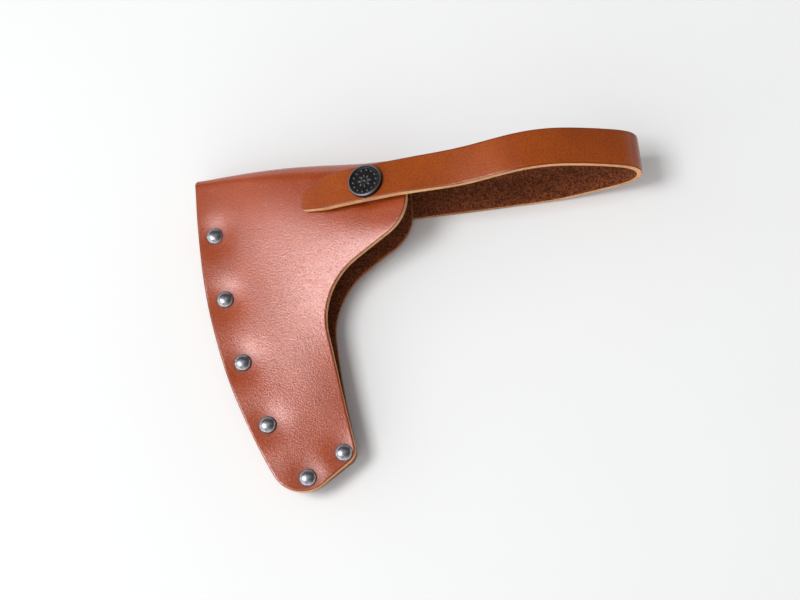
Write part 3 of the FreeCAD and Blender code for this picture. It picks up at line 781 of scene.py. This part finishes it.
def strap_faces(rows, size):
    """Faces of one stretch of the strap and the material of each: grain 0, cut edge 1, flesh 2."""
    cuts = len(CUT_ROWS)
    columns = size // 2 - cuts
    ring_kind = [0] * columns + [1] * cuts + [2] * columns + [1] * cuts
    faces, kinds = [], []
    for i in range(rows - 1):
        for j in range(size):
            n = (j + 1) % size
            faces.append([i * size + j, (i + 1) * size + j, (i + 1) * size + n, i * size + n])
            kind = ring_kind[j] if ring_kind[j] == ring_kind[n] else 1
            if ring_kind[j] == ring_kind[n] == 0 and j in (0, columns - 2):
                kind = 1
            kinds.append(kind)
    for i, flip in ((0, False), (rows - 1, True)):
        for j in range(columns - 1):
            other = 2 * columns + cuts - 1 - j
            face = [i * size + v for v in (j, j + 1, other - 1, other)]
            faces.append(face[::-1] if flip else face)
            kinds.append(1)
        for first in (columns - 1, 2 * columns + cuts - 1):
            side = [i * size + (first + n) % size for n in range(cuts + 2)]
            faces.append(side[::-1] if flip else side)
            kinds.append(1)
    return faces, kinds


def joint_places(line):
    """Distances along the strap at which its joints lie."""
    run = along(line)
    places = []
    for joint in frame["joints"]:
        at = np.array(joint["pos_m"]) / MM - SHIFT
        places.append(run[np.linalg.norm(line - at[[0, 2]], axis=1).argmin()])
    return places


def strap_pieces(materials):
    """The strap, one piece for each joint, cut across halfway between the joints."""
    line = strap_run()
    length = along(line)[-1]
    pivots = joint_places(line)
    seams = [(a + b) / 2 for a, b in zip(pivots, pivots[1:])]
    stations = strap_stations(length, seams)
    ring_y, ring_d, edge = strap_rings(stations, length)
    size = ring_y.shape[1]
    points = strap_points(line, stations, ring_y, ring_d)
    places_along = np.repeat(stations[:, None], size, 1) + STRAP_GRAIN_SHIFT
    flat = np.stack([places_along, ring_y, ring_d], 2)

    names = ["strap_back", "strap_end_lower", "strap_end_upper", "strap_front"]
    stands_for = [["strap_back_run"], ["strap_bend_lower", "strap_bend_end"],
                  ["strap_bend_upper"], ["strap_front_run"]]
    limits = [0.0] + seams + [length]
    for k, name in enumerate(names):
        rows = np.where((stations >= limits[k] - 1e-6) & (stations <= limits[k + 1] + 1e-6))[0]
        faces, kinds = strap_faces(len(rows), size)
        # painted shade: browner cut edges along the strap's lower run
        low = np.clip((SHADE_END - stations[rows]) / SHADE_OVER, 0, SHADE_MOST)
        values = {
            "flat": flat[rows].reshape(-1, 3),
            "edge": np.minimum(FAR, edge[rows]).ravel(),
            "low": np.repeat(low, size),
            "rivet": np.full(len(rows) * size, FAR),
        }
        obj = piece(name, points[rows].reshape(-1, 3), faces, materials, kinds, values, 75)
        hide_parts(*stands_for[k])
        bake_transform(obj)


# -------- metal

def lathe(name, profile, where, material, turns=72, relief=None, closed=False):
    """A turned piece: (radius, height) profile about the place's Z axis.  Relief adds height."""
    points, faces = [], []
    count = len(profile)
    angles = np.arange(turns) * math.tau / turns
    for radius, height in profile:
        lift = relief(radius, angles) if relief is not None else 0 * angles
        ring = np.stack([radius * np.cos(angles), radius * np.sin(angles), height + lift], 1)
        points.append(ring)
    points = np.vstack(points)
    for k in range(count if closed else count - 1):
        n = (k + 1) % count
        for i in range(turns):
            j = (i + 1) % turns
            faces.append([k * turns + i, k * turns + j, n * turns + j, n * turns + i])
    if not closed:
        faces.append(list(range(turns))[::-1])
        faces.append(list(range((count - 1) * turns, count * turns)))
    turned = np.array([where @ Vector(p) for p in points])
    radius = np.repeat([r for r, _ in profile], turns)
    values = {"flat": points, "rim": radius / max(r for r, _ in profile)}
    return piece(name, turned, faces, [material], None, values, 35)


def dome(radius, height, skirt):
    """Profile of a domed rivet head from its seat up to the middle."""
    points = [(AXIS, -SUNK), (radius - 0.5, -SUNK), (radius - 0.12, -0.2), (radius, 0.0),
              (radius, skirt * 0.7)]
    for k in range(1, DOME_STEPS):
        a = k / DOME_STEPS * math.pi / 2
        wide = radius * math.cos(a) ** DOME_SHAPE
        points.append((wide, skirt + (height - skirt) * math.sin(a)))
    points.append((AXIS, height))
    return points


def upright(x, y, z, flip=False):
    where = Matrix.Translation((x, y, z))
    return where @ Matrix.Rotation(math.pi, 4, "X") if flip else where


def edge_rivets(finish):
    """Domed caps on the front and domed heads on the back."""
    profile = dome(RIVET_HEAD, RIVET_HEIGHT, RIVET_SKIRT)
    for i, (x, y) in enumerate(RIVETS, start=1):
        cap = lathe("edge_rivet_cap_%d" % i, profile, upright(x, y, FLANGE_TOP), finish)
        fit(cap, "sheath", "rivet_nickel", "rivet_cap_%d" % i)
        head = lathe("edge_rivet_head_%d" % i, profile, upright(x, y, BACK_FACE, True), finish)
        fit(head, "sheath", "rivet_nickel", "rivet_post_%d" % i)


def tie_rivets(finish):
    """Flat rivets that hold the strap to the back panel."""
    profile = dome(TIE_HEAD, TIE_HEIGHT, TIE_SKIRT)
    for i, x in enumerate(TIE_X, start=1):
        head = lathe("tie_rivet_head_%d" % i, profile, upright(x, 0, TIE_HEIGHT, True), finish)
        fit(head, "sheath", "tie_rivet_metal", "strap_rivet_post_%d" % i)
        cap = lathe("tie_rivet_cap_%d" % i, profile, upright(x, 0, WELT_BASE), finish)
        fit(cap, "sheath", "tie_rivet_metal", "strap_rivet_cap_%d" % i)


def cap_relief(radius, angles):
    """A plain ornament on the cap's face: a ring of beads round a small rosette."""
    beads = BEAD_RISE * near(radius, BEAD_RING, BEAD_SIZE)
    beads = beads * np.maximum(0, np.cos(BEADS * angles)) ** 0.7
    leaf = np.cos(PETALS * angles)
    flower = PETAL_RISE * near(radius, (2.2 + 0.8 * leaf) * 0.8, 0.55) * (0.6 + 0.4 * leaf)
    heart = BEAD_RISE * near(radius, 0, 0.6)
    return beads + flower + heart


def snap_cap(finish):
    """The cap on the strap: a rolled rim, a groove, a raised ring and the ornament's ground."""
    profile = [(AXIS, -LEATHER - 0.5), (1.6, -LEATHER - 0.5), (1.6, -0.2), (CAP_RADIUS - 0.6, -0.2)]
    profile += [tuple(p) for p in rounded([
        (CAP_RADIUS, -0.1, 0), (CAP_RADIUS, CAP_HEIGHT, 0.75),
        (CAP_RADIUS - 0.9, CAP_HEIGHT, 0.3), (CAP_RADIUS - 0.9, CAP_FACE - 0.12, 0.12),
        (CAP_RADIUS - 1.3, CAP_FACE - 0.12, 0.1), (CAP_RADIUS - 1.3, CAP_FACE + 0.08, 0.1),
        (CAP_RADIUS - 1.6, CAP_FACE + 0.08, 0.1), (CAP_RADIUS - 1.6, CAP_GROUND, 0.05),
        (CAP_RADIUS - 2.3, CAP_GROUND, 0)], 0.06)]
    profile += [(r, CAP_GROUND) for r in np.arange(5.1, 0.1, -0.16)] + [(AXIS, CAP_GROUND)]
    seat = snap_frame() @ Matrix.Translation((0, 0, SNAP_GAP + LEATHER))
    cap = lathe("snap_cap_top", profile, seat, finish, CAP_TURNS, cap_relief)
    fit(cap, "strap_front", "snap_cap_metal", "snap_cap")


def snap_inside(finish):
    """Socket, stud and post of the snap, along the snap's tilted axis."""
    socket = rounded([
        (3.4, 2.95, 0), (3.4, 1.75, 0.1), (3.9, 1.75, 0), (3.9, 0.85, 0), (3.4, 0.85, 0.15),
        (3.4, 0.6, 0.2), (5.6, 0.6, 0.35), (5.6, 3.5, 0.3), (1.6, 3.5, 0), (1.6, 2.95, 0)], 0.1)
    ring = lathe("snap_socket_cup", socket[::-1], snap_frame(), finish, closed=True)
    fit(ring, "strap_front", "snap_metal", "snap_socket")

    stud = rounded([
        (1.2, 0.0, 0), (4.7, 0.0, 0.1), (4.7, 0.6, 0.2), (2.2, 0.6, 0.2), (2.2, 1.85, 0.2),
        (2.7, 1.85, 0.2), (2.7, 2.75, 0.5), (1.2, 2.75, 0)], 0.1)
    body = lathe("snap_stud_body", stud, snap_frame(), finish, closed=True)
    fit(body, "sheath", "snap_metal", "snap_stud")

    depth = LEATHER * math.cos(math.atan(RISE_SLOPE))
    stem = rounded([
        (AXIS, -depth - 0.6, 0), (4.2, -depth - 0.6, 0.25), (4.2, -depth, 0.1),
        (1.2, -depth, 0), (1.2, 2.8, 0.2), (AXIS, 2.8, 0)], 0.1)
    post = lathe("snap_stud_post", stem, snap_frame(), finish)
    fit(post, "sheath", "snap_metal", "snap_post")


# -------- materials

class Nodes:
    """The nodes of a material or a world, added one after another."""

    def __init__(self, owner):
        self.owner = owner
        owner.use_nodes = True
        self.tree = owner.node_tree
        self.shader = self.tree.nodes.get("Principled BSDF")

    def add(self, kind, links=None, **settings):
        node = self.tree.nodes.new("ShaderNode" + kind)
        for key, value in settings.items():
            if hasattr(node, key):
                setattr(node, key, value)
            else:
                node.inputs[key.replace("_", " ")].default_value = value
        for key, socket in (links or {}).items():
            self.link(socket, node.inputs[key])
        return node

    def link(self, source, target):
        self.tree.links.new(source, target)

    def attribute(self, name, vector=False):
        node = self.add("Attribute", attribute_name=name)
        return node.outputs["Vector" if vector else "Fac"]

    def scaled(self, vector, x, y, z):
        node = self.add("Mapping", {"Vector": vector})
        node.inputs["Scale"].default_value = (x, y, z)
        return node.outputs["Vector"]

    def noise(self, vector, scale, detail=4.0, rough=0.55):
        node = self.add("TexNoise", {"Vector": vector}, Scale=scale, Detail=detail, Roughness=rough)
        return node.outputs["Fac"]

    def cells(self, vector, scale, feature="F1"):
        node = self.add("TexVoronoi", {"Vector": vector}, feature=feature, Scale=scale)
        return node.outputs["Distance"]

    def span(self, value, low, high, to_low=0.0, to_high=1.0):
        node = self.add("MapRange", {"Value": value}, clamp=True)
        node.inputs["From Min"].default_value = low
        node.inputs["From Max"].default_value = high
        node.inputs["To Min"].default_value = to_low
        node.inputs["To Max"].default_value = to_high
        return node.outputs["Result"]

    def sum(self, *values):
        total = values[0]
        for value in values[1:]:
            node = self.add("Math", operation="ADD")
            self.link(total, node.inputs[0])
            self.link(value, node.inputs[1])
            total = node.outputs[0]
        return total

    def times(self, a, b):
        node = self.add("Math", operation="MULTIPLY")
        self.link(a, node.inputs[0])
        if isinstance(b, (int, float)):
            node.inputs[1].default_value = b
        else:
            self.link(b, node.inputs[1])
        return node.outputs[0]

    def mix(self, amount, a, b):
        node = self.add("Mix", {"Factor": amount}, data_type="RGBA")
        for socket, value in ((node.inputs[6], a), (node.inputs[7], b)):
            if isinstance(value, tuple):
                socket.default_value = (*value, 1)
            else:
                self.link(value, socket)
        return node.outputs[2]

    def bump(self, height, distance, strength=1.0):
        node = self.add("Bump", {"Height": height}, Distance=distance * MM, Strength=strength)
        self.link(node.outputs["Normal"], self.shader.inputs["Normal"])

    def finish(self, colour, roughness, **settings):
        self.link(colour, self.shader.inputs["Base Color"])
        self.link(roughness, self.shader.inputs["Roughness"])
        for key, value in settings.items():
            self.shader.inputs[key.replace("_", " ")].default_value = value
        return self.owner


def grain_leather(name, light, dark, deep, shine, tint, bumps):
    """Smooth vegetable tanned leather: mottled dye, pores, fine creases, darker worked edges."""
    n = Nodes(bpy.data.materials.new(name))
    flat = n.attribute("flat", True)
    cloud = n.noise(flat, 0.045, 5, 0.6)
    fine = n.noise(flat, 1.25, 2, 0.6)
    hair = n.noise(n.scaled(flat, 0.35, 1.6, 1), 1.1, 5, 0.65)
    pores = n.cells(flat, 2.1)
    colour = n.mix(n.span(cloud, 0.35, 0.68), dark, light)
    colour = n.mix(n.span(fine, 0.45, 0.68, 0, 0.5), colour, deep)
    colour = n.mix(n.span(fine, 0.45, 0.3, 0, 0.35), colour, light)
    colour = n.mix(n.span(hair, 0.5, 0.75, 0, 0.28), colour, light)
    colour = n.mix(n.span(pores, 0.0, 0.24, 0.45, 0), colour, deep)
    edge = n.attribute("edge")
    colour = n.mix(n.span(edge, 0.35, 0.75, 0.75, 0), colour, deep)
    rivet = n.attribute("rivet")
    colour = n.mix(n.span(rivet, 3.4, 5.5, 0.4, 0), colour, deep)
    scratch = n.cells(n.scaled(flat, 0.05, 0.55, 1), 0.5, "DISTANCE_TO_EDGE")
    few = n.span(n.noise(flat, 0.08, 2), 0.55, 0.65)
    line = n.times(n.span(scratch, 0.0, 0.012, 0.12, 0), few)
    colour = n.mix(line, colour, (0.62, 0.36, 0.24))
    specks = n.cells(flat, 0.11)
    colour = n.mix(n.span(specks, 0.014, 0.024, 0.45, 0), colour, (0.75, 0.62, 0.5))
    gloss = n.span(n.noise(flat, 0.25, 5, 0.6), 0.3, 0.7, 0.22, 0.28)
    gloss = n.sum(gloss, n.span(rivet, 3.4, 7.0, 0.1, 0))
    height = n.sum(n.times(fine, 0.6), n.times(hair, 0.05), n.span(pores, 0.0, 0.3, -0.35, 0.0),
                   n.times(line, -0.6))
    n.bump(height, 0.17, bumps)
    return n.finish(colour, gloss, IOR=1.5, Specular_IOR_Level=shine, Specular_Tint=(*tint, 1))


def cut_edge(name, light, dark, edge_shade):
    """The cut edge: pale fibres in layers, a little dyed and dirty, with painted shade making it
    brown where it lies low.
    """
    n = Nodes(bpy.data.materials.new(name))
    flat = n.attribute("flat", True)
    fibres = n.noise(n.scaled(flat, 0.9, 0.9, 5.0), 1.3, 6, 0.7)
    dye = n.noise(flat, 0.16, 4, 0.6)
    colour = n.mix(n.span(fibres, 0.3, 0.72), dark, light)
    colour = n.mix(n.span(dye, 0.45, 0.7, 0, 0.6), colour, dark)
    # painted shade: brown where the edge lies low, on the back panel and the strap's lower run
    colour = n.mix(n.times(n.attribute("low"), 0.9), colour, edge_shade)
    n.bump(fibres, 0.3, 0.8)
    return n.finish(colour, n.span(fibres, 0.2, 0.8, 0.7, 0.9), IOR=1.4)


def flesh_side(name, light, dark):
    """The flesh side: short nap in irregular patches."""
    n = Nodes(bpy.data.materials.new(name))
    flat = n.attribute("flat", True)
    nap = n.noise(flat, 1.3, 4, 0.8)
    patch = n.noise(n.scaled(flat, 0.6, 1.3, 1), 0.35, 5, 0.65)
    colour = n.mix(n.span(nap, 0.4, 0.66), dark, light)
    colour = n.mix(n.span(patch, 0.5, 0.75, 0, 0.35), colour, dark)
    n.bump(n.sum(nap, patch), 0.4, 0.8)
    return n.finish(colour, n.span(nap, 0.2, 0.8, 0.8, 0.95), IOR=1.35, Specular_IOR_Level=0.15,
                    Sheen_Weight=0.06, Sheen_Roughness=0.5)


def metal(name, light, dark, rough):
    """Dark plated metal with faint tarnish and fine marks, darker near the rim."""
    n = Nodes(bpy.data.materials.new(name))
    flat = n.attribute("flat", True)
    tarnish = n.noise(flat, 0.5, 5, 0.6)
    marks = n.noise(n.scaled(flat, 0.6, 3.5, 1), 2.2, 5, 0.6)
    rim = n.attribute("rim")
    colour = n.mix(n.span(tarnish, 0.35, 0.7), dark, light)
    colour = n.mix(n.span(rim, 0.93, 1.0, 0, 0.6), colour, dark)
    gloss = n.sum(n.span(tarnish, 0.3, 0.7, rough, rough + 0.08), n.span(marks, 0.5, 0.8, 0, 0.08))
    n.bump(n.sum(tarnish, marks), 0.02, 0.35)
    return n.finish(colour, gloss, Metallic=1.0)


def cap_metal(name):
    """Gunmetal cap: worn bright on what stands up, dark in the recesses."""
    n = Nodes(bpy.data.materials.new(name))
    flat = n.attribute("flat", True)
    height = n.add("SeparateXYZ", {"Vector": flat}).outputs["Z"]
    marks = n.noise(flat, 1.6, 6, 0.65)
    rubbed = n.sum(height, n.span(marks, 0.3, 0.7, -0.08, 0.08))
    raised = n.span(rubbed, CAP_FACE, CAP_HEIGHT - 0.15)
    colour = n.mix(raised, (0.030, 0.028, 0.029), (0.13, 0.13, 0.14))
    gloss = n.span(marks, 0.3, 0.7, 0.3, 0.42)
    n.bump(marks, 0.05, 0.4)
    return n.finish(colour, gloss, Metallic=1.0)


def floor_material():
    n = Nodes(bpy.data.materials.new("table"))
    where = n.add("TexCoord").outputs["Object"]
    tone = n.noise(where, 6.0, 4)
    colour = n.mix(n.span(tone, 0.3, 0.7), (0.80, 0.80, 0.795), (0.815, 0.815, 0.81))
    return n.finish(colour, n.span(tone, 0.3, 0.7, 0.55, 0.62), IOR=1.4)


# -------- stage, light and camera

def stage():
    """The table top."""
    half = FLOOR_HALF
    mesh = bpy.data.meshes.new("floor")
    corners = [(-half, -half, 0), (half, -half, 0), (half, half, 0), (-half, half, 0)]
    mesh.from_pydata(corners, [], [(0, 1, 2, 3)])
    mesh.materials.append(floor_material())
    floor = bpy.data.objects.new("floor", mesh)
    bpy.context.scene.collection.objects.link(floor)


def soft_light(name, location, size, power, colour):
    """A rectangular light turned to the sheath."""
    data = bpy.data.lights.new(name, "AREA")
    data.shape = "RECTANGLE"
    data.size, data.size_y = size
    data.energy = power
    data.color = colour
    light = bpy.data.objects.new(name, data)
    light.location = location
    light.rotation_mode = "QUATERNION"
    light.rotation_quaternion = (-Vector(location)).to_track_quat("-Z", "Y")
    bpy.context.scene.collection.objects.link(light)


def surroundings():
    """A pale room: brighter on the window's side, and brighter low down than overhead."""
    n = Nodes(bpy.data.worlds.new("room"))
    bpy.context.scene.world = n.owner
    where = n.add("TexCoord").outputs["Generated"]
    side = n.add("VectorMath", operation="DOT_PRODUCT")
    n.link(where, side.inputs[0])
    side.inputs[1].default_value = Vector(ROOM_BRIGHT_SIDE).normalized()
    window = n.span(side.outputs["Value"], -0.25, 0.75, 0, 1.7)
    height = n.add("SeparateXYZ", {"Vector": where}).outputs["Z"]
    walls = n.span(height, 0.45, 0.0, 0.2, 1.7)
    background = n.tree.nodes["Background"]
    background.inputs["Color"].default_value = ROOM_COLOUR
    n.link(n.sum(window, walls), background.inputs["Strength"])


def camera():
    """The photograph's viewing angle: from above, 18 degrees off the vertical."""
    data = bpy.data.cameras.new("camera")
    data.lens = CAMERA_LENS
    data.sensor_width = 36
    cam = bpy.data.objects.new("camera", data)
    location, aim = Vector(CAMERA_FROM) * MM, Vector(CAMERA_AT) * MM
    back = (location - aim).normalized()
    across = Vector((0, 1, 0)).cross(back).normalized()
    turn = Matrix((across, back.cross(across), back)).transposed().to_4x4()
    roll = Matrix.Rotation(math.radians(CAMERA_ROLL), 4, "Z")
    cam.matrix_world = Matrix.Translation(location) @ turn @ roll
    bpy.context.scene.collection.objects.link(cam)
    bpy.context.scene.camera = cam


# -------- the sheath

def welt_loop():
    """The spacer's outline in plan: along the cutting edge to the heel and back further in."""
    outline = panel_outline()
    outer = outline + left_of(np.gradient(outline, axis=0)) * WELT_INSET
    past_heel = round(WELT_WIDTH / OUTLINE_STEP)
    outer = outer[:np.linalg.norm(outline - HEEL, axis=1).argmin() + past_heel]
    run = np.linspace(outer[-1, 0] - 2.0, RISE_START + 1.0, 60)
    back = np.stack([run, flange_line(run)], 1)
    loop = closed_loop(np.vstack([outer, back, outer[:1] + (11.0, 0)]), LOOP_STEP)
    for _ in range(WELT_SMOOTHING):
        loop = (np.roll(loop, 1, 0) + 2 * loop + np.roll(loop, -1, 0)) / 4
    return loop


def welt_top(x, q):
    return np.stack([x, q, WELT_BASE + WELT + UNEVEN * waves(x, q, WELT_WAVES, 0.9)], -1)


def leather_pieces():
    """The folded sheath, its spacer and the strap."""
    sheath_grain = grain_leather(
        "sheath_grain", light=(0.37, 0.058, 0.009), dark=(0.30, 0.044, 0.007),
        deep=(0.11, 0.014, 0.003), shine=0.76, tint=(1.0, 0.80, 0.80), bumps=0.65)
    strap_grain = grain_leather(
        "strap_grain", light=(0.34, 0.066, 0.007), dark=(0.27, 0.049, 0.006),
        deep=(0.12, 0.018, 0.003), shine=0.3, tint=(1.0, 1.0, 1.0), bumps=0.5)
    cut = cut_edge("cut_edge", light=(0.85, 0.50, 0.23), dark=(0.38, 0.14, 0.045),
                   edge_shade=(0.20, 0.065, 0.022))
    flesh = flesh_side("flesh", light=(0.33, 0.088, 0.030), dark=(0.035, 0.008, 0.003))
    undyed = cut_edge("welt_leather", light=(0.50, 0.27, 0.12), dark=(0.30, 0.13, 0.055),
                      edge_shade=(0.30, 0.13, 0.055))

    body = cut_leather("sheath_leather_body", blank_loop(), folded, LEATHER,
                       [sheath_grain, cut, flesh])
    fit(body, "sheath", "sheath_leather", "sheath_body")
    spacer = cut_leather("welt_strip", welt_loop(), welt_top, WELT, [undyed] * 3, 2 * GRID)
    fit(spacer, "sheath", "welt_leather", "welt")
    strap_pieces([strap_grain, cut, flesh])


def metal_pieces():
    """The rivets and the snap.  The snap's spring ring keeps its CAD shape."""
    edge_rivets(metal("rivet_metal", light=(0.44, 0.44, 0.46), dark=(0.15, 0.15, 0.17),
                      rough=0.27))
    tie_rivets(metal("tie_metal", light=(0.48, 0.48, 0.50), dark=(0.28, 0.28, 0.30), rough=0.28))
    snap_cap(cap_metal("snap_cap_face"))
    snap_inside(metal("snap_inner_metal", light=(0.60, 0.60, 0.60), dark=(0.42, 0.42, 0.42),
                      rough=0.24))
    wire = metal("spring_wire", light=(0.62, 0.62, 0.62), dark=(0.45, 0.45, 0.45), rough=0.2)
    spring = frame["nodes"]["snap_spring"]
    spring.data.materials.clear()
    spring.data.materials.append(wire)


camera()
surroundings()
stage()
soft_light("window", WINDOW_AT, WINDOW_SIZE, WINDOW_POWER, WINDOW_COLOUR)
bpy.context.scene.view_settings.view_transform = "Standard"
leather_pieces()
metal_pieces()
